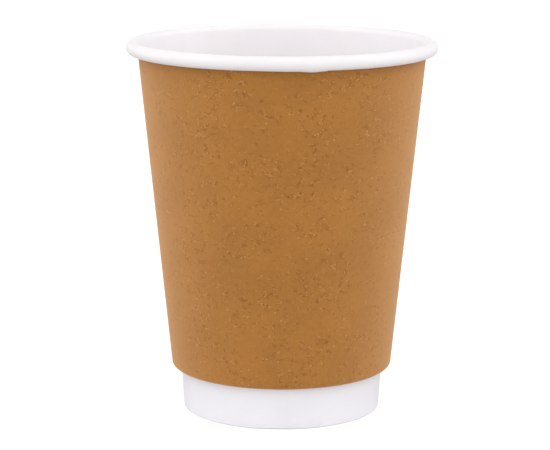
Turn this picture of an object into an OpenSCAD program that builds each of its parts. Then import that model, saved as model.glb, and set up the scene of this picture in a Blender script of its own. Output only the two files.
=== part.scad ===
// Double-wall paper cup for hot drinks: a white coated cup with a rolled rim, and a brown outer
// sleeve whose lower edge is curled in against it, so that air is trapped between the two walls.
// Origin at the middle of the foot on the table, +Z up, front at -Y. Millimetres.

/* [Overall] */
// Outside diameter over the rolled rim
rim_d = 90; // [80:0.5:98]
// Height from the table to the top of the rim
cup_h = 108.3; // [92:0.1:136]
// Outside diameter of the foot at the table
foot_d = 57.6; // [50:0.1:64]

/* [Inner cup] */
// Thickness of the coated board of the inner cup
board_t = 0.36; // [0.28:0.01:0.45]
// Outside diameter of the curl that makes the rim
rim_roll_d = 4; // [3.2:0.1:4.8]
// Space between the curl's tucked end and the wall inside the curl
tail_gap = 0.25; // [0.15:0.01:0.4]
// How far round the curl's tucked end runs past the bottom of the curl, in degrees
tail_turn = 115; // [60:5:150]
// Width of the lap where the ends of the blank are sealed
cup_lap_w = 8; // [5:0.5:12]
// Where the cup's lap lies, in degrees from the front towards +X
cup_lap_at = 11; // [0:1:90]

/* [Foot] */
// Height of the foot's band, in which the bottom is sealed
foot_band_h = 9; // [7.5:0.1:11]
// Lean of the foot's band from upright, in degrees
foot_lean = 2.9; // [0:0.1:7]
// Height of the hem that the wall's lower edge is folded up into
hem_h = 7; // [5:0.1:7.4]
// Rounding of the fold's corners at the table
fold_r = 0.34; // [0.2:0.01:0.4]

/* [Bottom] */
// Thickness of the board of the bottom
bottom_t = 0.32; // [0.25:0.01:0.4]
// Height of the bottom's upper face over the table
bottom_z = 8.8; // [8:0.1:10]
// Outside radius of the bend between the bottom and its skirt
bend_r = 0.9; // [0.6:0.05:1.2]

/* [Sleeve] */
// Thickness of the board of the outer sleeve
sleeve_t = 0.42; // [0.3:0.01:0.55]
// Height of the sleeve's lower edge over the table
sleeve_z = 12.5; // [10:0.1:20]
// Outside diameter of the sleeve's curled-in lower edge
hem_curl_d = 2.4; // [1.8:0.1:3]
// How far round the lower edge is curled, in degrees
hem_curl_turn = 250; // [180:5:270]
// How far the sleeve's upper edge is tucked up past the bottom of the rim's curl
sleeve_tuck = 0.3; // [0:0.05:0.5]
// Width of the sleeve's lap
sleeve_lap_w = 10; // [6:0.5:14]
// Where the sleeve's lap lies, in degrees from the front towards +X
sleeve_lap_at = 180; // [90:5:270]

/* [Hidden] */
// Film of sealant between boards that are pressed together
seal = 0.03;
// Segments in a quarter turn of a curl, and round the cup
quarter = 10;
$fn = 96;

roll_r = rim_roll_d / 2;
roll_c = [rim_d / 2 - roll_r, cup_h - roll_r];
tail_r = roll_r - board_t - tail_gap;
tail_c = roll_c - [0, roll_r - tail_r];
band_in = [foot_r(foot_band_h) - board_t, foot_band_h];
wall_lean = lean(roll_c - band_in, roll_r);

skirt_z = board_t + seal;
skirt_gap = board_t + seal;
hem_gap = skirt_gap + bottom_t + seal;

sleeve_top_z = cup_h - rim_roll_d + sleeve_tuck;
sleeve_top = [wall_out_r(sleeve_top_z) + seal + sleeve_t, sleeve_top_z];
curl_r = hem_curl_d / 2;
curl_z = sleeve_z + curl_r;
curl_c = [wall_out_r(curl_z) + (curl_r + seal) / cos(wall_lean), curl_z];
sleeve_lean = lean(sleeve_top - curl_c, curl_r);

// Outside radius of the foot's band at a height
function foot_r(z) = foot_d / 2 + z * tan(foot_lean);

// Outside radius of the inner cup's wall at a height over the band
function wall_out_r(z) =
    band_in[0] + (z - foot_band_h) * tan(wall_lean) + board_t / cos(wall_lean);

// Lean of a line that starts at one end of span and touches a circle of radius r at the other
function lean(span, r) = atan2(span[0], span[1]) - asin(r / norm(span));

// Points of an arc about c, from angle a to angle b
function arc(c, r, a, b) =
    let (n = ceil(abs(b - a) * quarter / 90))
    [for (i = [0:n]) c + r * [cos(a + (b - a) * i / n), sin(a + (b - a) * i / n)]];

function backwards(points) = [for (i = [len(points) - 1:-1:0]) points[i]];

// Keeps what lies in a strip of width w that runs out from the axis at turn degrees from the front
module lap_strip(w, turn) {
    intersection() {
        rotate_extrude() children();
        rotate([0, 0, turn - 90]) translate([0, -w / 2, 0]) cube([rim_d, w, 2 * cup_h]);
    }
}

// Board of the inner cup: hem, fold, foot, wall, rolled rim and the curl's tucked end
module cup_section() {
    outside = concat(
        [[foot_r(hem_h) - hem_gap - board_t, hem_h]],
        arc([foot_r(0) - hem_gap - board_t + fold_r, fold_r], fold_r, 180, 270),
        arc([foot_r(0) - fold_r, fold_r], fold_r, 270, 360),
        [[foot_r(foot_band_h), foot_band_h]],
        arc(roll_c, roll_r - board_t, 180 - wall_lean, -90),
        arc(tail_c, tail_r - board_t, -90, -90 - tail_turn)
    );
    inside = concat(
        [[foot_r(hem_h) - hem_gap, hem_h]],
        [[foot_r(board_t) - hem_gap, board_t]],
        [[foot_r(board_t) - board_t, board_t]],
        [band_in],
        arc(roll_c, roll_r, 180 - wall_lean, -90),
        arc(tail_c, tail_r, -90, -90 - tail_turn)
    );
    polygon(concat(outside, backwards(inside)));
}

// Second ply of the inner cup's lap: it lies inside the wall and thickens the rim's curl downwards
module cup_lap_section() {
    lap_c = roll_c - [board_t, board_t] / 2;
    lap_z = bottom_z + seal;
    lap_in_r = wall_out_r(lap_z) - 2 * board_t / cos(wall_lean);
    polygon(concat(
        [[lap_in_r, lap_z]],
        arc(lap_c, roll_r + board_t / 2, 180 - wall_lean, -90),
        arc(roll_c, roll_r - board_t / 2, -90, 180 - wall_lean),
        [[lap_in_r + 1.5 * board_t, lap_z]]
    ));
}

module inner_cup() {
    color("white") {
        rotate_extrude() cup_section();
        lap_strip(cup_lap_w, cup_lap_at) cup_lap_section();
    }
}

// Punched disc with its edge drawn down into a skirt, which the hem holds
module cup_bottom() {
    out_r = foot_r(bottom_z - bend_r) - skirt_gap;
    bend_c = [out_r - bend_r, bottom_z - bend_r];
    outside = concat(
        [[foot_r(skirt_z) - skirt_gap, skirt_z]],
        arc(bend_c, bend_r, 0, 90),
        [[0, bottom_z]]
    );
    inside = concat(
        [[foot_r(skirt_z) - skirt_gap - bottom_t, skirt_z]],
        arc(bend_c, bend_r - bottom_t, 0, 90),
        [[0, bottom_z - bottom_t]]
    );
    color("whitesmoke") rotate_extrude() polygon(concat(outside, backwards(inside)));
}

// Board of the sleeve, from its upper edge down to the end of its curled-in lower edge
module sleeve_section() {
    across = sleeve_t * [cos(sleeve_lean), -sin(sleeve_lean)];
    outside = concat([sleeve_top], arc(curl_c, curl_r, -sleeve_lean, -hem_curl_turn));
    inside = concat([sleeve_top - across], arc(curl_c, curl_r - sleeve_t, -sleeve_lean, -hem_curl_turn));
    polygon(concat(outside, backwards(inside)));
}

// Second ply of the sleeve's lap, on the outside of the wall and round the outer half of the curl
module sleeve_lap_section() {
    across = sleeve_t * [cos(sleeve_lean), -sin(sleeve_lean)];
    polygon(concat(
        [sleeve_top + across],
        arc(curl_c, curl_r + sleeve_t, -sleeve_lean, -90),
        arc(curl_c, curl_r - sleeve_t / 2, -90, -sleeve_lean),
        [sleeve_top - across / 2]
    ));
}

module outer_sleeve() {
    color("peru") {
        rotate_extrude() sleeve_section();
        lap_strip(sleeve_lap_w, sleeve_lap_at) sleeve_lap_section();
    }
}

inner_cup();
cup_bottom();
outer_sleeve();
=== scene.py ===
"""The looks of a double-wall paper cup for hot drinks.

Each piece is made as it is in a cup works: a blank of board is drawn in section, turned once
round the cup's axis, with the ends of the wall's and the sleeve's blanks lapped, and given the
board's thickness.
Metres, +Z up, front at -Y.
"""

import math

import bmesh
import bpy
from bpy.props import FloatProperty, FloatVectorProperty, IntProperty, PointerProperty
from mathutils import Matrix, Vector


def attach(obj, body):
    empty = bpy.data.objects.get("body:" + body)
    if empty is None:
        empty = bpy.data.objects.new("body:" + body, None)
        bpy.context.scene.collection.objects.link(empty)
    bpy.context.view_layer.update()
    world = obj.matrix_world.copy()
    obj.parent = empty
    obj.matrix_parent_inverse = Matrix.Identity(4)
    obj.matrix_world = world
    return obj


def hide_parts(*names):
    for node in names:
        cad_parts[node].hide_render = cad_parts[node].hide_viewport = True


bl_info = {
    "name": "Paper cup for hot drinks",
    "version": (1, 0, 0),
    "blender": (4, 5, 0),
    "location": "3D View > Sidebar > Paper cup",
    "description": "Makes a paper cup with a rolled rim, an outer sleeve and the table under it",
    "category": "Object",
}

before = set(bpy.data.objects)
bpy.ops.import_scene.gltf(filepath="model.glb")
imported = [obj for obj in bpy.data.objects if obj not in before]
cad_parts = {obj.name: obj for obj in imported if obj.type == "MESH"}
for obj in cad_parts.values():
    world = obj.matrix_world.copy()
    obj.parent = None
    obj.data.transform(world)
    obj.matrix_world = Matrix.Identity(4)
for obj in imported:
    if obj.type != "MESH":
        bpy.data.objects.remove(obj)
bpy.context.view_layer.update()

MM = 0.001

FRONT = math.radians(-90)  # the front's place round the axis, from +X
QUARTER = math.radians(90)

# The shape of the boards where they are folded and lapped
FOLD_ROUND = 1.5  # radius of a fold's middle line, in half boards
FOLD_RISE = 5  # height over which the lift of a lapped fold fades, in boards
ON_CURL = 0.9  # how far inside its centre the curl ends and the wall begins, in curl radii
EASE = 0.8 * MM  # half the height over which the foot's lean becomes the wall's
CENTRE = 0.4 * MM  # radius of the small disc in the middle of the bottom
SKIRT_LIFT = 3  # films of sealant between the fold and the skirt's edge
SAME_PLACE = 0.0001 * MM  # points nearer to each other than this are one
MEAN_GIRTH = 0.8  # the blank's mean radius, as a rough share of its top radius
CUT_ROUND = 0.1  # rounding of a cut edge, as a share of the board
CUT_ANGLE = math.radians(60)  # edges sharper than this are cut edges

# How the give of the sleeve's curled lap turns over between its outer and its inner side
TURN_ACROSS = 1.6
TURN_UP = 0.4
TURN_START = 0.6

# The camera, as fitted to the photo's outlines
CAMERA_AT = (0, -0.6225, 0.1763)
CAMERA_TILT = 0.1944  # below level, in radians
CAMERA_ROLL = 0.002  # in radians
SENSOR_WIDTH = 36  # in millimetres
PICTURE_WIDTH = 550  # in pixels
FOCAL_LENGTH = 2166  # in pixels
OFF_CENTRE = 6.8  # how far right of the picture's middle the cup stands, in pixels
TABLE_HALF = 8  # half the table's width
TABLE_GAP = 0.02 * MM  # so that the cup's foot and the table don't share a plane

# Most of a noise lies between these
MIDDLE = (0.3, 0.7)


# Sizes and colours that a user would change


def length(name, text, millimetres):
    """A length property in metres whose default is given in millimetres."""
    return FloatProperty(
        name=name,
        description=text,
        default=millimetres * MM,
        min=0,
        unit="LENGTH",
        precision=5,
    )


def angle(name, text, degrees):
    """An angle property whose default is given in degrees."""
    return FloatProperty(
        name=name, description=text, default=math.radians(degrees), unit="ROTATION"
    )


def colour(name, text, rgb):
    """A colour property whose default is given as plain screen values from 0 to 255."""
    linear = [((c / 255 + 0.055) / 1.055) ** 2.4 for c in rgb]
    return FloatVectorProperty(
        name=name, description=text, default=linear, size=3, subtype="COLOR", min=0, max=1
    )


def share(name, text, value):
    """A factor property from 0 to 1."""
    return FloatProperty(
        name=name, description=text, default=value, min=0, max=1, subtype="FACTOR"
    )


def strength(name, text, value):
    """A property for a light's strength."""
    return FloatProperty(name=name, description=text, default=value, min=0)


def count(name, text, value):
    """A property for a number of steps round the cup."""
    return IntProperty(name=name, description=text, default=value, min=24)


class CupSizes(bpy.types.PropertyGroup):
    """Sizes of the inner cup and its bottom"""

    rim_radius: length("Rim radius", "Outside radius over the rolled rim", 45)
    height: length("Height", "From the table to the top of the rim", 108.3)
    foot_radius: length("Foot radius", "Outside radius of the foot at the table", 28.8)
    board: length("Board", "Thickness of the coated board", 0.36)
    roll: length("Curl", "Outside radius of the curl that makes the rim", 2)
    tail_gap: length("Curl's end gap", "Space between the curl's tucked end and its wall", 0.25)
    tail_turn: angle("Curl's end", "How far the tucked end runs past the curl's bottom", 115)
    lap: length("Lap", "Width of the lap where the ends of the blank are sealed", 8)
    lap_at: angle("Lap's place", "From the front towards +X", 11)
    lap_ramp: length("Lap's slope", "Length over which the board climbs beside the lap", 12)
    lap_drop: length("Lap's drop", "Length over which the lap's upper board comes down", 3)
    lap_thin: share("Lap's ends", "Share of the board's thickness at the lap's ends", 0.35)
    band: length("Foot band", "Height of the band in which the bottom is sealed", 9)
    foot_lean: angle("Foot's lean", "Lean of the foot band from upright", 2.9)
    hem: length("Hem", "Height of the hem inside the foot", 7)
    bottom: length("Bottom's height", "Upper face of the bottom over the table", 8.8)
    bottom_board: length("Bottom's board", "Thickness of the bottom's board", 0.32)
    bend: length("Bottom's bend", "Outside radius of the bend into the skirt", 0.9)
    seal: length("Sealant", "Film of sealant between pressed boards", 0.03)
    steps: count("Steps", "Steps once round the cup", 288)
    bottom_steps: count("Bottom's steps", "Steps once round the bottom", 192)


class SleeveSizes(bpy.types.PropertyGroup):
    """Sizes of the outer sleeve"""

    board: length("Board", "Thickness of the kraft board", 0.42)
    low: length("Lower edge", "Height of the sleeve's lower edge over the table", 12.5)
    curl: length("Curled edge", "Outside radius of the curled-in lower edge", 1.2)
    curl_turn: angle("Curled edge's turn", "How far round the lower edge is curled", 250)
    tuck: length("Tuck", "How far the upper edge is tucked up past the rim's underside", 0.3)
    lap: length("Lap", "Width of the sleeve's lap", 10)
    lap_at: angle("Lap's place", "From the front towards +X", 180)
    lap_ramp: length("Lap's slope", "Length over which the board climbs beside the lap", 6)
    lap_drop: length("Lap's drop", "Length over which the lap's upper board comes down", 4)
    steps: count("Steps", "Steps once round the sleeve", 240)


class BoardColours(bpy.types.PropertyGroup):
    """Colours of the two boards"""

    white: colour("White board", "Coated face of the white board", (245, 241, 243))
    white_outer: colour("White outer face", "Plain face of the white board", (244, 243, 249))
    cut: colour("Cut edge", "Raw edge of the white board", (226, 221, 214))
    kraft: colour("Kraft", "Kraft board", (165, 109, 44))
    kraft_light: colour("Light fibres", "Light fibres in the kraft board", (206, 153, 95))
    kraft_dark: colour("Dark fibres", "Dark fibres in the kraft board", (128, 70, 6))
    kraft_dust: colour("Dust", "Soft edge light of the kraft board's fibres", (255, 206, 160))
    kraft_cut: colour("Kraft's cut edge", "Raw edge of the kraft board", (188, 140, 86))


class StageLook(bpy.types.PropertyGroup):
    """Table and light"""

    table: colour("Table", "Colour of the table", (215, 215, 215))
    lift: share("Table's lift", "Light, for the camera alone, that turns the table white", 0.51)
    surround: share("Surround", "Strength of the even light from all round", 0.3)
    softness: angle("Softness", "Angle over which each light is spread", 70)
    side: strength("Side lights", "Strength of each side light", 1.55)
    side_turn: angle("Side lights' turn", "From the front to either side", 90)
    side_rise: angle("Side lights' rise", "From the table upwards", 32)
    front: strength("Front light", "Strength of the front light", 1.44)
    front_rise: angle("Front light's rise", "From the table upwards", 22)


# Drawing a section and turning it into a lapped blank


def smooth_step(x):
    """0 below 0, 1 above 1, and a soft slope between."""
    x = min(max(x, 0), 1)
    return x * x * (3 - 2 * x)


def start_section(bm, r, z):
    """First point of a section, r from the axis and z over the table, and the layers for it."""
    bm.verts.layers.float.new("turn")
    bm.verts.layers.float.new("run")
    return bm.verts.new((r, 0, z))


def draw_line(bm, end, r, z, cuts=1):
    """Draws the section on in a straight line to (r, z)."""
    start = end.co.copy()
    for i in range(cuts):
        end = bmesh.ops.extrude_vert_indiv(bm, verts=[end])["verts"][0]
        end.co = start.lerp(Vector((r, 0, z)), (i + 1) / cuts)
    return end


def draw_curl(bm, end, r, z, turn, cuts):
    """Draws the section on along an arc about (r, z). A positive turn goes over it outwards."""
    made = bmesh.ops.spin(bm, geom=[end], cent=(r, 0, z), axis=(0, 1, 0), angle=turn, steps=cuts)
    return [v for v in made["geom_last"] if isinstance(v, bmesh.types.BMVert)][0]


def turn_blank(bm, steps):
    """Turns the section once round the axis, ends unjoined.

    Each vertex keeps how far round it is, 0 to 1, and how far along the section, in metres.
    """
    turn = bm.verts.layers.float["turn"]
    run = bm.verts.layers.float["run"]
    section = list(bm.verts)
    for before, v in zip(section, section[1:]):
        v[run] = before[run] + (v.co - before.co).length
    last = section + list(bm.edges)
    for i in range(steps):
        made = bmesh.ops.spin(
            bm, geom=last, cent=(0, 0, 0), axis=(0, 0, 1), angle=math.tau / steps, steps=1
        )
        last = made["geom_last"]
        for v in last:
            if isinstance(v, bmesh.types.BMVert):
                v[turn] = (i + 1) / steps


def lap_blank(bm, sizes, board, give, thin=1):
    """Laps the turned blank's ends: the last goes under the first, and both yield as give says.

    Each end is pressed thinner over half the lap, down to the share thin of the board at its
    edge. Beside the lap the board over it comes down over the lap's drop, and the board under
    it over the lap's slope.
    """
    turn = bm.verts.layers.float["turn"]
    shares = bm.verts.layers.deform.verify()
    lap = sizes.lap

    def share_at(inside, slope):
        """Share of the board's thickness at a distance inside its end, fading past the end."""
        if inside < 0:
            return thin * smooth_step(1 + inside / slope)
        return 1 - (1 - thin) * smooth_step(1 - inside / (lap / 2))

    bm.normal_update()
    facings = [v.normal.copy() for v in bm.verts]
    for v, facing in zip(bm.verts, facings):
        r = math.hypot(v.co.x, v.co.y)
        half = math.asin(min(lap / 2 / r, 1))
        along = v[turn] * (math.tau + 2 * half)
        side, slope = (1, sizes.lap_drop) if along < math.pi else (-1, sizes.lap_ramp)
        inside = min(along, math.tau + 2 * half - along)
        own = share_at(inside * r, slope)
        other = share_at((2 * half - inside) * r, slope)
        out = Vector((v.co.x, v.co.y, 0)) / r
        flat = Vector((facing.dot(out), 0, facing.z))
        yields = give(r, v.co.z, flat, side)
        shift = board / 2 * (flat * side * other - yields * (own + other - 1))
        v[shares][0] = own
        v.co += out * shift.x
        v.co.z += shift.z
        turned = FRONT + sizes.lap_at - half + 2 * half * v[turn]
        v.co = Matrix.Rotation(turned, 3, "Z") @ v.co


def flatten_to_uv(bm, top):
    """Lays the blank out on its UV map, in metres, so that the board's grain follows it."""
    uv = bm.loops.layers.uv.new("board")
    turn = bm.verts.layers.float["turn"]
    run = bm.verts.layers.float["run"]
    girth = math.tau * top * MEAN_GIRTH
    for face in bm.faces:
        for loop in face.loops:
            loop[uv].uv = (loop.vert[turn] * girth, loop.vert[run])


def finish_piece(context, name, bm, board, materials, node):
    """Makes the object, gives the blank its thickness and puts it in the CAD node's place.

    The materials are those of the drawn face and the other face, or one for both, and then
    the cut edge's.
    """
    mesh = bpy.data.meshes.new(name)
    for face in bm.faces:
        face.smooth = True
    thinned = bm.verts.layers.deform.active is not None
    bm.to_mesh(mesh)
    bm.free()
    for material in materials:
        mesh.materials.append(material)
    piece = bpy.data.objects.new(name, mesh)
    context.scene.collection.objects.link(piece)
    wall = piece.modifiers.new("board", "SOLIDIFY")
    wall.thickness = board
    wall.offset = 0
    wall.use_even_offset = True
    wall.use_quality_normals = True
    wall.material_offset = len(materials) - 2
    wall.material_offset_rim = len(materials) - 1
    if thinned:
        wall.vertex_group = piece.vertex_groups.new(name="share of the board").name
    edge = piece.modifiers.new("cut edges", "BEVEL")
    edge.width = board * CUT_ROUND
    edge.segments = 2
    edge.limit_method = "ANGLE"
    edge.angle_limit = CUT_ANGLE
    edge.harden_normals = True
    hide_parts(node)
    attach(piece, "root")


# Materials


def feed(tree, socket, value):
    """Links a socket to a shader input or sets a plain value. A colour has three channels."""
    if isinstance(value, bpy.types.NodeSocket):
        tree.links.new(value, socket)
    elif socket.type == "RGBA":
        socket.default_value = (*value, 1)
    else:
        socket.default_value = value


def feed_all(tree, node, **inputs):
    """Feeds a node's inputs by name, with underscores for spaces."""
    for name, value in inputs.items():
        feed(tree, node.inputs[name.replace("_", " ")], value)
    return node


def add_node(tree, kind, **inputs):
    """A shader node with its inputs fed."""
    return feed_all(tree, tree.nodes.new(kind), **inputs)


def calculate(tree, operation, *values):
    """Outcome of a math operation on sockets and numbers."""
    node = tree.nodes.new("ShaderNodeMath")
    node.operation = operation
    for socket, value in zip(node.inputs, values):
        feed(tree, socket, value)
    return node.outputs[0]


def new_material(name):
    """An empty material with its shader: (material, node tree, shader)."""
    material = bpy.data.materials.new(name)
    material.use_nodes = True
    tree = material.node_tree
    shader = next(n for n in tree.nodes if n.type == "BSDF_PRINCIPLED")
    return material, tree, shader


def noise(tree, place, scale, detail=2.0, rough=0.5, turn=0.0, stretch=1.0, shift=0.0):
    """Noise over the board, with features of about 1/scale metres, turned and stretched."""
    mapping = add_node(
        tree,
        "ShaderNodeMapping",
        Vector=place,
        Location=(shift, shift, shift),
        Rotation=(0, 0, turn),
        Scale=(1, 1 / stretch, 1),
    )
    made = add_node(
        tree,
        "ShaderNodeTexNoise",
        Vector=mapping.outputs[0],
        Scale=scale,
        Detail=detail,
        Roughness=rough,
    )
    return made.outputs["Fac"]


def spread(tree, value, low, high, to_low=0.0, to_high=1.0):
    """Value between low and high is spread softly over to_low and to_high."""
    made = add_node(
        tree,
        "ShaderNodeMapRange",
        Value=value,
        From_Min=low,
        From_Max=high,
        To_Min=to_low,
        To_Max=to_high,
    )
    made.interpolation_type = "SMOOTHSTEP"
    return made.outputs[0]


def blend(tree, amount, first, second):
    """Colour between first and second by amount."""
    made = tree.nodes.new("ShaderNodeMix")
    made.data_type = "RGBA"
    colour_a, colour_b = (s for s in made.inputs if s.type == "RGBA")
    for socket, value in ((made.inputs[0], amount), (colour_a, first), (colour_b, second)):
        feed(tree, socket, value)
    return next(s for s in made.outputs if s.type == "RGBA")


def sum_of(tree, *pairs):
    """Sum of each value times its weight."""
    total = 0
    for value, weight in pairs:
        total = calculate(tree, "MULTIPLY_ADD", value, weight, total)
    return total


def away_from(tree, value, middle):
    """Distance of value from middle."""
    return calculate(tree, "ABSOLUTE", calculate(tree, "SUBTRACT", value, middle))


def product(tree, first, second):
    """First times second."""
    return calculate(tree, "MULTIPLY", first, second)


def raise_surface(tree, shader, height, depth):
    """Bump of the given depth in metres."""
    bump = add_node(tree, "ShaderNodeBump", Strength=1.0, Distance=depth, Height=height)
    feed_all(tree, shader, Normal=bump.outputs[0])


def clusters(tree, place, shift, most):
    """Loose clusters some millimetres wide: a little everywhere, and most within them."""
    field = noise(tree, place, scale=130, detail=3, rough=0.6, shift=shift + 6)
    return spread(tree, field, 0.38, 0.62, 0.2 * most, most)


def curled_fibres(tree, place, scale, width, shift, most):
    """Curled, broken lines in loose clusters, as fibres lie in a board: dark and light sides."""
    field = noise(tree, place, scale, detail=2, rough=0.6, shift=shift)
    breaks = noise(tree, place, scale * 0.9, detail=1, rough=0.5, shift=shift + 4)
    seen = product(tree, spread(tree, breaks, 0.46, 0.62), clusters(tree, place, shift, most))
    dark = spread(tree, away_from(tree, field, 0.5), 0, width, 1, 0)
    light = spread(tree, away_from(tree, field, 0.5 + width), 0, width * 0.8, 0.72, 0)
    return product(tree, dark, seen), product(tree, light, seen)


def specks(tree, place, scale, shift, most):
    """Small specks, gathered in loose clusters: 0 to most."""
    field = noise(tree, place, scale, detail=1, rough=0.5, turn=0.4, stretch=1.3, shift=shift)
    return product(tree, spread(tree, field, 0.69, 0.77), clusters(tree, place, shift, most))


def kraft_board(name, colours, raw=False):
    """Uncoated kraft board: cloudy pulp, curled fibres and specks, matt with a dusty edge."""
    material, tree, shader = new_material(name)
    mapped = add_node(tree, "ShaderNodeUVMap")
    mapped.uv_map = "board"
    place = mapped.outputs[0]
    cloud = spread(tree, noise(tree, place, scale=60, detail=4, rough=0.6), *MIDDLE)
    pulp = noise(tree, place, scale=600, detail=3, rough=0.6, shift=3)
    darker, lighter = ([c * by for c in colours.kraft] for by in (0.93, 1.07))
    base = blend(tree, cloud, darker, lighter)
    base = blend(tree, spread(tree, pulp, *MIDDLE, to_high=0.1), base, colours.kraft_light)
    fibres = curled_fibres(tree, place, scale=700, width=0.085, shift=7, most=0.67)
    dark_fibres, light_fibres = fibres
    light_specks = specks(tree, place, scale=1250, shift=31, most=0.7)
    dark_specks = specks(tree, place, scale=1150, shift=43, most=0.5)
    for amount, tint in (
        (dark_fibres, colours.kraft_dark),
        (light_fibres, colours.kraft_light),
        (dark_specks, colours.kraft_dark),
        (light_specks, colours.kraft_light),
    ):
        base = blend(tree, amount, base, tint)
    if raw:
        fray = spread(tree, noise(tree, place, scale=3000), 0.4, 0.6)
        base = blend(tree, fray, base, colours.kraft_cut)
    feed_all(
        tree,
        shader,
        Base_Color=base,
        Roughness=spread(tree, pulp, *MIDDLE, 0.55, 0.68),
        Specular_IOR_Level=0.15,
        Sheen_Weight=0.73,
        Sheen_Roughness=0.56,
        Sheen_Tint=colours.kraft_dust,
    )
    tooth = sum_of(tree, (pulp, 0.5), (dark_fibres, 0.8), (light_fibres, -0.8))
    raise_surface(tree, shader, tooth, depth=0.015 * MM)
    return material


def white_board(name, colours, outer=False, raw=False):
    """Bleached board, thinly coated: faint cloud and fibres, and a soft, uneven satin."""
    face = colours.white_outer if outer else colours.white
    shade = [c * 0.96 for c in face]
    material, tree, shader = new_material(name)
    place = add_node(tree, "ShaderNodeTexCoord").outputs["Object"]
    cloud = spread(tree, noise(tree, place, scale=55, detail=4, rough=0.6), *MIDDLE)
    fibres = noise(tree, place, scale=1300, detail=3, rough=0.6, shift=5)
    base = blend(tree, cloud, face, shade)
    base = blend(tree, spread(tree, fibres, 0.4, 0.75, to_high=0.25), base, shade)
    if raw:
        fray = spread(tree, noise(tree, place, scale=2600, detail=3), 0.35, 0.65)
        base = blend(tree, fray, colours.cut, base)
    roughness = (0.7, 0.85) if raw else (0.38, 0.5)
    feed_all(
        tree,
        shader,
        Base_Color=base,
        Roughness=spread(tree, fibres, *MIDDLE, *roughness),
        Specular_IOR_Level=0.25,
    )
    dimples = noise(tree, place, scale=260, detail=3, rough=0.5, shift=9)
    raise_surface(tree, shader, sum_of(tree, (fibres, 0.4), (dimples, 0.6)), depth=0.02 * MM)
    return material


def made_once(name, maker, *args, **kwargs):
    """The material of that name, made the first time that it is asked for."""
    return bpy.data.materials.get(name) or maker(name, *args, **kwargs)


def white_materials(context):
    """The white board's outer face, coated face and cut edge."""
    colours = context.scene.board_colours
    return (
        made_once("white board outer face", white_board, colours, outer=True),
        made_once("white coated board", white_board, colours),
        made_once("white board cut edge", white_board, colours, raw=True),
    )


def kraft_materials(context):
    """The kraft board's face and cut edge."""
    colours = context.scene.board_colours
    return (
        made_once("brown kraft board", kraft_board, colours),
        made_once("kraft board cut edge", kraft_board, colours, raw=True),
    )


# Pieces


def foot_radius(sizes, z):
    """Outside radius of the foot band at a height."""
    return sizes.foot_radius + z * math.tan(sizes.foot_lean)


def lean_to_circle(start, centre, radius):
    """Lean from upright of a line from start that touches a circle on its near side."""
    across, up = centre[0] - start[0], centre[1] - start[1]
    return math.atan2(across, up) - math.asin(radius / math.hypot(across, up))


def wall_line(sizes):
    """The wall over the band: its inner face's lowest point, the curl's centre and the lean."""
    start = (foot_radius(sizes, sizes.band) - sizes.board, sizes.band)
    centre = (sizes.rim_radius - sizes.roll, sizes.height - sizes.roll)
    return start, centre, lean_to_circle(start, centre, sizes.roll)


def wall_outside(sizes, z):
    """Outside radius of the inner cup's wall at a height over the band."""
    start, _, lean = wall_line(sizes)
    return start[0] + (z - sizes.band) * math.tan(lean) + sizes.board / math.cos(lean)


class CUP_OT_inner_cup(bpy.types.Operator):
    """Makes the inner cup: hem, foot, wall and rolled rim from one lapped blank"""

    bl_idname = "cup.inner_cup"
    bl_label = "Inner cup"

    def execute(self, context):
        s = context.scene.cup_sizes
        half = s.board / 2
        fold = half * FOLD_ROUND
        fold_z = half + fold
        hem_gap = 2 * s.seal + s.board + s.bottom_board
        (start_r, start_z), curl_at, lean = wall_line(s)
        bm = bmesh.new()
        end = start_section(bm, foot_radius(s, s.hem) - hem_gap - half, s.hem)
        low_r = foot_radius(s, fold_z) - hem_gap - half
        end = draw_line(bm, end, low_r, fold_z, cuts=4)
        end = draw_curl(bm, end, low_r + fold, fold_z, turn=-QUARTER, cuts=4)
        foot_r = foot_radius(s, fold_z) - half
        end = draw_line(bm, end, foot_r - fold, half)
        end = draw_curl(bm, end, foot_r - fold, fold_z, turn=-QUARTER, cuts=4)
        end = draw_line(bm, end, start_r + half, start_z - EASE, cuts=4)
        wall_r = start_r + half + EASE * math.tan(lean)
        end = draw_line(bm, end, wall_r, start_z + EASE, cuts=2)
        reach = s.roll - half
        top_r = curl_at[0] - reach * math.cos(lean)
        top_z = curl_at[1] + reach * math.sin(lean)
        end = draw_line(bm, end, top_r, top_z, cuts=14)
        end = draw_curl(bm, end, *curl_at, turn=3 * QUARTER - lean, cuts=34)
        tail = s.roll - s.board - s.tail_gap
        tail_z = curl_at[1] - (s.roll - tail)
        end.co = (curl_at[0], 0, tail_z - (tail - half))
        draw_curl(bm, end, curl_at[0], tail_z, turn=s.tail_turn, cuts=14)
        turn_blank(bm, s.steps)
        bmesh.ops.reverse_faces(bm, faces=list(bm.faces))

        def give(r, z, facing, side):
            """The wall goes inwards, the curl inwards and down, and the fold inwards and up."""
            if z > top_z and r < curl_at[0]:
                return Vector((1, 0, min(1, (z - top_z) / (s.height - half - top_z))))
            if z > top_z - 2 * s.roll and r > curl_at[0] - reach * ON_CURL:
                return Vector((1, 0, 1))
            if z < s.band:
                lifted = 0 if side > 0 else 2 - 2 * smooth_step(z / (FOLD_RISE * s.board))
                return Vector((2 - facing.x, 0, side * facing.z - lifted))
            return Vector((1, 0, 0))

        lap_blank(bm, s, s.board + s.seal / 2, give, s.lap_thin)
        flatten_to_uv(bm, s.rim_radius)
        materials = white_materials(context)
        finish_piece(
            context,
            "white_inner_cup",
            bm,
            s.board,
            materials,
            node="inner_cup",
        )
        return {"FINISHED"}


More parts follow.
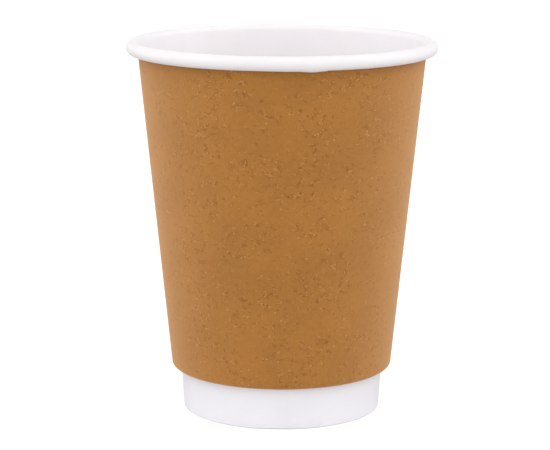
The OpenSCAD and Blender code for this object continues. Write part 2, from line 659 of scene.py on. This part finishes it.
class CUP_OT_bottom(bpy.types.Operator):
    """Makes the bottom: a disc of white board with its edge drawn down into a skirt"""

    bl_idname = "cup.bottom"
    bl_label = "Bottom"

    def execute(self, context):
        s = context.scene.cup_sizes
        half = s.bottom_board / 2
        gap = s.board + s.seal
        bend = s.bend - half
        edge_z = s.bottom - s.bend
        bend_r = foot_radius(s, edge_z) - gap - half - bend
        bm = bmesh.new()
        end = start_section(bm, 0, s.bottom - half)
        end = draw_line(bm, end, CENTRE, s.bottom - half)
        end = draw_line(bm, end, bend_r, s.bottom - half, cuts=16)
        end = draw_curl(bm, end, bend_r, edge_z, turn=QUARTER, cuts=8)
        low = s.board + SKIRT_LIFT * s.seal
        draw_line(bm, end, foot_radius(s, low) - gap - half, low, cuts=8)
        bmesh.ops.spin(
            bm,
            geom=list(bm.verts) + list(bm.edges),
            cent=(0, 0, 0),
            axis=(0, 0, 1),
            angle=math.tau,
            steps=s.bottom_steps,
            use_merge=True,
        )
        bmesh.ops.remove_doubles(bm, verts=list(bm.verts), dist=SAME_PLACE)
        bmesh.ops.recalc_face_normals(bm, faces=list(bm.faces))
        self.dent_skirt(bm, s, bend_r, bend)
        outer, coated, cut = white_materials(context)
        finish_piece(
            context,
            "white_bottom",
            bm,
            s.bottom_board,
            (coated, outer, cut),
            node="cup_bottom",
        )
        return {"FINISHED"}

    @staticmethod
    def dent_skirt(bm, s, bend_r, bend):
        """Presses the skirt inwards where the wall's lap lies over it."""
        for v in bm.verts:
            r = math.hypot(v.co.x, v.co.y)
            if r > bend_r:
                away = math.atan2(v.co.y, v.co.x) - (s.lap_at + FRONT)
                away = (away + math.pi) % math.tau - math.pi
                beside = abs(away) * r - s.lap / 2
                dent = 1 - smooth_step(beside / (s.lap_ramp if away < 0 else s.lap_drop / 2))
                part = min((r - bend_r) / bend, 1)
                out = Vector((v.co.x, v.co.y, 0)) / r
                v.co -= out * dent * part * (s.board + s.seal)


class CUP_OT_sleeve(bpy.types.Operator):
    """Makes the outer sleeve, tucked under the rim and curled in at its lower edge"""

    bl_idname = "cup.sleeve"
    bl_label = "Outer sleeve"

    def execute(self, context):
        s, cup = context.scene.sleeve_sizes, context.scene.cup_sizes
        half = s.board / 2
        _, _, wall_lean = wall_line(cup)
        top_z = cup.height - 2 * cup.roll + s.tuck
        top_r = wall_outside(cup, top_z) + cup.seal + s.board
        curl_z = s.low + s.curl
        curl_r = wall_outside(cup, curl_z) + (s.curl + cup.seal) / math.cos(wall_lean)
        down, across = top_z - curl_z, top_r - curl_r
        lean = math.atan2(across, down) - math.asin(s.curl / math.hypot(across, down))
        face = Vector((math.cos(lean), 0, -math.sin(lean)))
        reach = s.curl - half
        bm = bmesh.new()
        end = start_section(bm, top_r - half * face.x, top_z - half * face.z)
        end = draw_line(bm, end, curl_r + reach * face.x, curl_z + reach * face.z, cuts=16)
        draw_curl(bm, end, curl_r, curl_z, turn=s.curl_turn - lean, cuts=22)
        turn_blank(bm, s.steps)

        def give(r, z, facing, side):
            """The wall's lap stands out, and the curl's goes inwards where it meets the cup."""
            if z > curl_z and facing.x > 0:
                return facing * -1
            inwards = -facing.x * TURN_ACROSS - facing.z * TURN_UP - TURN_START
            return facing * min(max(inwards, -1), 1)

        lap_blank(bm, s, s.board + cup.seal / 2, give)
        flatten_to_uv(bm, top_r)
        materials = kraft_materials(context)
        finish_piece(
            context,
            "kraft_sleeve",
            bm,
            s.board,
            materials,
            node="outer_sleeve",
        )
        return {"FINISHED"}


# Stage


def soft_light(context, name, turn, rise, power, softness):
    """A broad, far light, turned from the front towards +X and risen over the table."""
    data = bpy.data.lights.new(name, "SUN")
    data.energy = power
    data.angle = softness
    lamp = bpy.data.objects.new(name, data)
    turned = Matrix.Rotation(turn, 3, "Z") @ Matrix.Rotation(-rise, 3, "X")
    away = turned @ Vector((0, -1, 0))
    lamp.rotation_euler = away.to_track_quat("Z", "Y").to_euler()
    context.scene.collection.objects.link(lamp)


def pale_table(name, look):
    """White matt table. What the camera sees is lifted to white, and the cup's shadow stays."""
    material, tree, shader = new_material(name)
    feed_all(tree, shader, Base_Color=look.table, Roughness=0.9, Specular_IOR_Level=0.0)
    path = tree.nodes.new("ShaderNodeLightPath")
    lift = add_node(tree, "ShaderNodeEmission", Strength=look.lift)
    none = add_node(tree, "ShaderNodeEmission", Strength=0.0)
    seen = tree.nodes.new("ShaderNodeMixShader")
    sources = (path.outputs["Is Camera Ray"], none.outputs[0], lift.outputs[0])
    for socket, source in zip(seen.inputs, sources):
        feed(tree, socket, source)
    total = tree.nodes.new("ShaderNodeAddShader")
    for socket, source in zip(total.inputs, (shader.outputs[0], seen.outputs[0])):
        feed(tree, socket, source)
    output = next(n for n in tree.nodes if n.type == "OUTPUT_MATERIAL")
    feed_all(tree, output, Surface=total.outputs[0])
    return material


def white_surround(context, power):
    """World: white to the camera and in reflections, and an even light on the object."""
    world = bpy.data.worlds.new("white surround")
    context.scene.world = world
    world.use_nodes = True
    tree = world.node_tree
    path = tree.nodes.new("ShaderNodeLightPath")
    plain = path.outputs["Is Camera Ray"]
    for ray in ("Is Glossy Ray", "Is Transmission Ray"):
        plain = calculate(tree, "MAXIMUM", plain, path.outputs[ray])
    level = add_node(tree, "ShaderNodeMapRange", Value=plain, To_Min=power)
    background = next(n for n in tree.nodes if n.type == "BACKGROUND")
    feed_all(tree, background, Color=(1, 1, 1), Strength=level.outputs[0])


class CUP_OT_stage(bpy.types.Operator):
    """Makes the table, the lights and the camera"""

    bl_idname = "cup.stage"
    bl_label = "Table, light and camera"

    def execute(self, context):
        look = context.scene.stage_look
        self.make_table(context, look)
        white_surround(context, look.surround)
        for name, turn, rise, power in (
            ("left light", -look.side_turn, look.side_rise, look.side),
            ("right light", look.side_turn, look.side_rise, look.side),
            ("front light", 0, look.front_rise, look.front),
        ):
            soft_light(context, name, turn, rise, power, look.softness)
        self.make_camera(context)
        context.scene.view_settings.view_transform = "Standard"
        return {"FINISHED"}

    @staticmethod
    def make_table(context, look):
        """A broad plane just under the cup's foot."""
        bm = bmesh.new()
        bmesh.ops.create_grid(bm, x_segments=2, y_segments=2, size=TABLE_HALF)
        bmesh.ops.translate(bm, verts=list(bm.verts), vec=(0, 0, -TABLE_GAP))
        mesh = bpy.data.meshes.new("table")
        bm.to_mesh(mesh)
        bm.free()
        mesh.materials.append(pale_table("pale table", look))
        table = bpy.data.objects.new("table", mesh)
        context.scene.collection.objects.link(table)

    @staticmethod
    def make_camera(context):
        """The camera from where the photo was taken."""
        data = bpy.data.cameras.new("camera")
        data.sensor_width = SENSOR_WIDTH
        data.lens = FOCAL_LENGTH * SENSOR_WIDTH / PICTURE_WIDTH
        data.clip_start, data.clip_end = 0.05, 30
        camera = bpy.data.objects.new("camera", data)
        camera.location = CAMERA_AT
        tilt = Matrix.Rotation(QUARTER - CAMERA_TILT, 4, "X")
        sway = Matrix.Rotation(OFF_CENTRE / FOCAL_LENGTH, 4, "Z")
        roll = Matrix.Rotation(CAMERA_ROLL, 4, "Z")
        camera.rotation_euler = (sway @ tilt @ roll).to_euler()
        context.scene.collection.objects.link(camera)
        context.scene.camera = camera


class CUP_PT_panel(bpy.types.Panel):
    """The cup's pieces and stage"""

    bl_idname = "CUP_PT_panel"
    bl_label = "Paper cup"
    bl_space_type = "VIEW_3D"
    bl_region_type = "UI"
    bl_category = "Paper cup"

    def draw(self, context):
        layout = self.layout
        for group in GROUPS:
            properties = getattr(context.scene, group)
            box = layout.box()
            for name in properties.__annotations__:
                box.prop(properties, name)
        for operator in OPERATORS:
            layout.operator(operator.bl_idname)


GROUPS = {
    "cup_sizes": CupSizes,
    "sleeve_sizes": SleeveSizes,
    "board_colours": BoardColours,
    "stage_look": StageLook,
}
OPERATORS = [CUP_OT_inner_cup, CUP_OT_bottom, CUP_OT_sleeve, CUP_OT_stage]


def register():
    for group in GROUPS.values():
        bpy.utils.register_class(group)
    for operator in OPERATORS:
        bpy.utils.register_class(operator)
    bpy.utils.register_class(CUP_PT_panel)
    for name, group in GROUPS.items():
        setattr(bpy.types.Scene, name, PointerProperty(type=group))


def unregister():
    for name in GROUPS:
        delattr(bpy.types.Scene, name)
    bpy.utils.unregister_class(CUP_PT_panel)
    for operator in reversed(OPERATORS):
        bpy.utils.unregister_class(operator)
    for group in GROUPS.values():
        bpy.utils.unregister_class(group)


def main():
    register()
    bpy.ops.cup.inner_cup()
    bpy.ops.cup.bottom()
    bpy.ops.cup.sleeve()
    bpy.ops.cup.stage()


if __name__ == "__main__":
    main()
